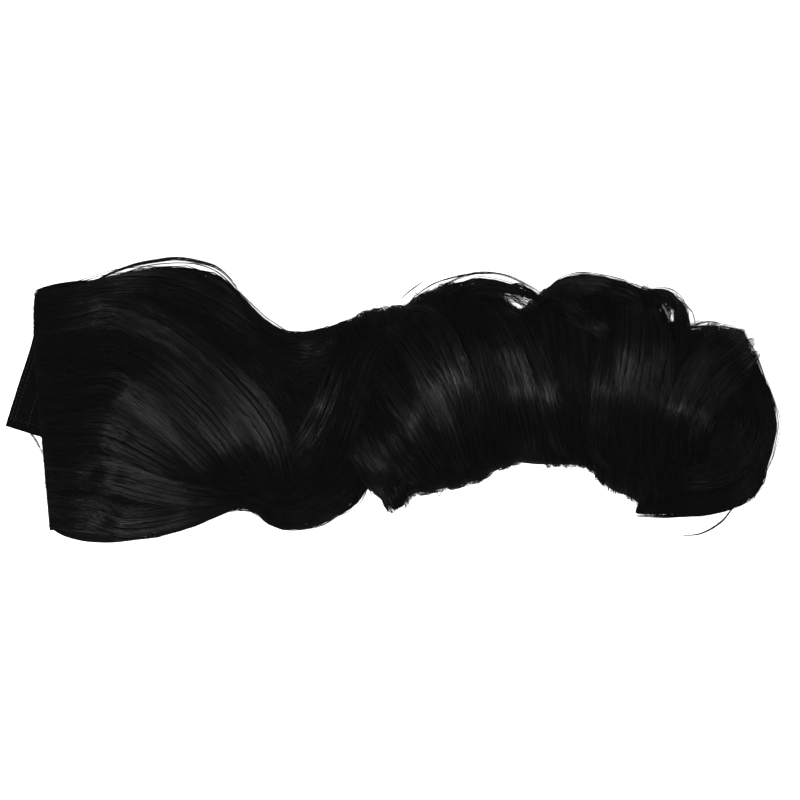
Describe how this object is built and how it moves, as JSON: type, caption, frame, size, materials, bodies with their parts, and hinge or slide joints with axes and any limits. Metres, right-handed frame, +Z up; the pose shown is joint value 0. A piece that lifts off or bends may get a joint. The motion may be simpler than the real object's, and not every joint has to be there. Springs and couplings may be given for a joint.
{
  "type": "clip-in hair extension",
  "caption": "Long wavy black hair sewn to a folded fabric band with snap clips on its inner face, lying on a surface; clips under a wearer's own hair.",
  "frame": {"origin": "middle of the whole piece's box in plan, on the surface that it lies on", "axes": "+X from the sewn band to the tips of the hair, +Y towards the fold in the band, +Z up"},
  "size_m": [0.5632, 0.1994, 0.0538],
  "materials": {
    "hair": "glossy black synthetic hair fibre",
    "band": "matte black woven band with sewn rows",
    "clip": "black enamelled spring steel"
  },
  "bodies": {
    "root": {"hair_fall": "hair", "base_band": "band", "snap_clip_1": "clip", "snap_clip_2": "clip", "snap_clip_3": "clip", "snap_clip_4": "clip"}
  },
  "joints": []
}
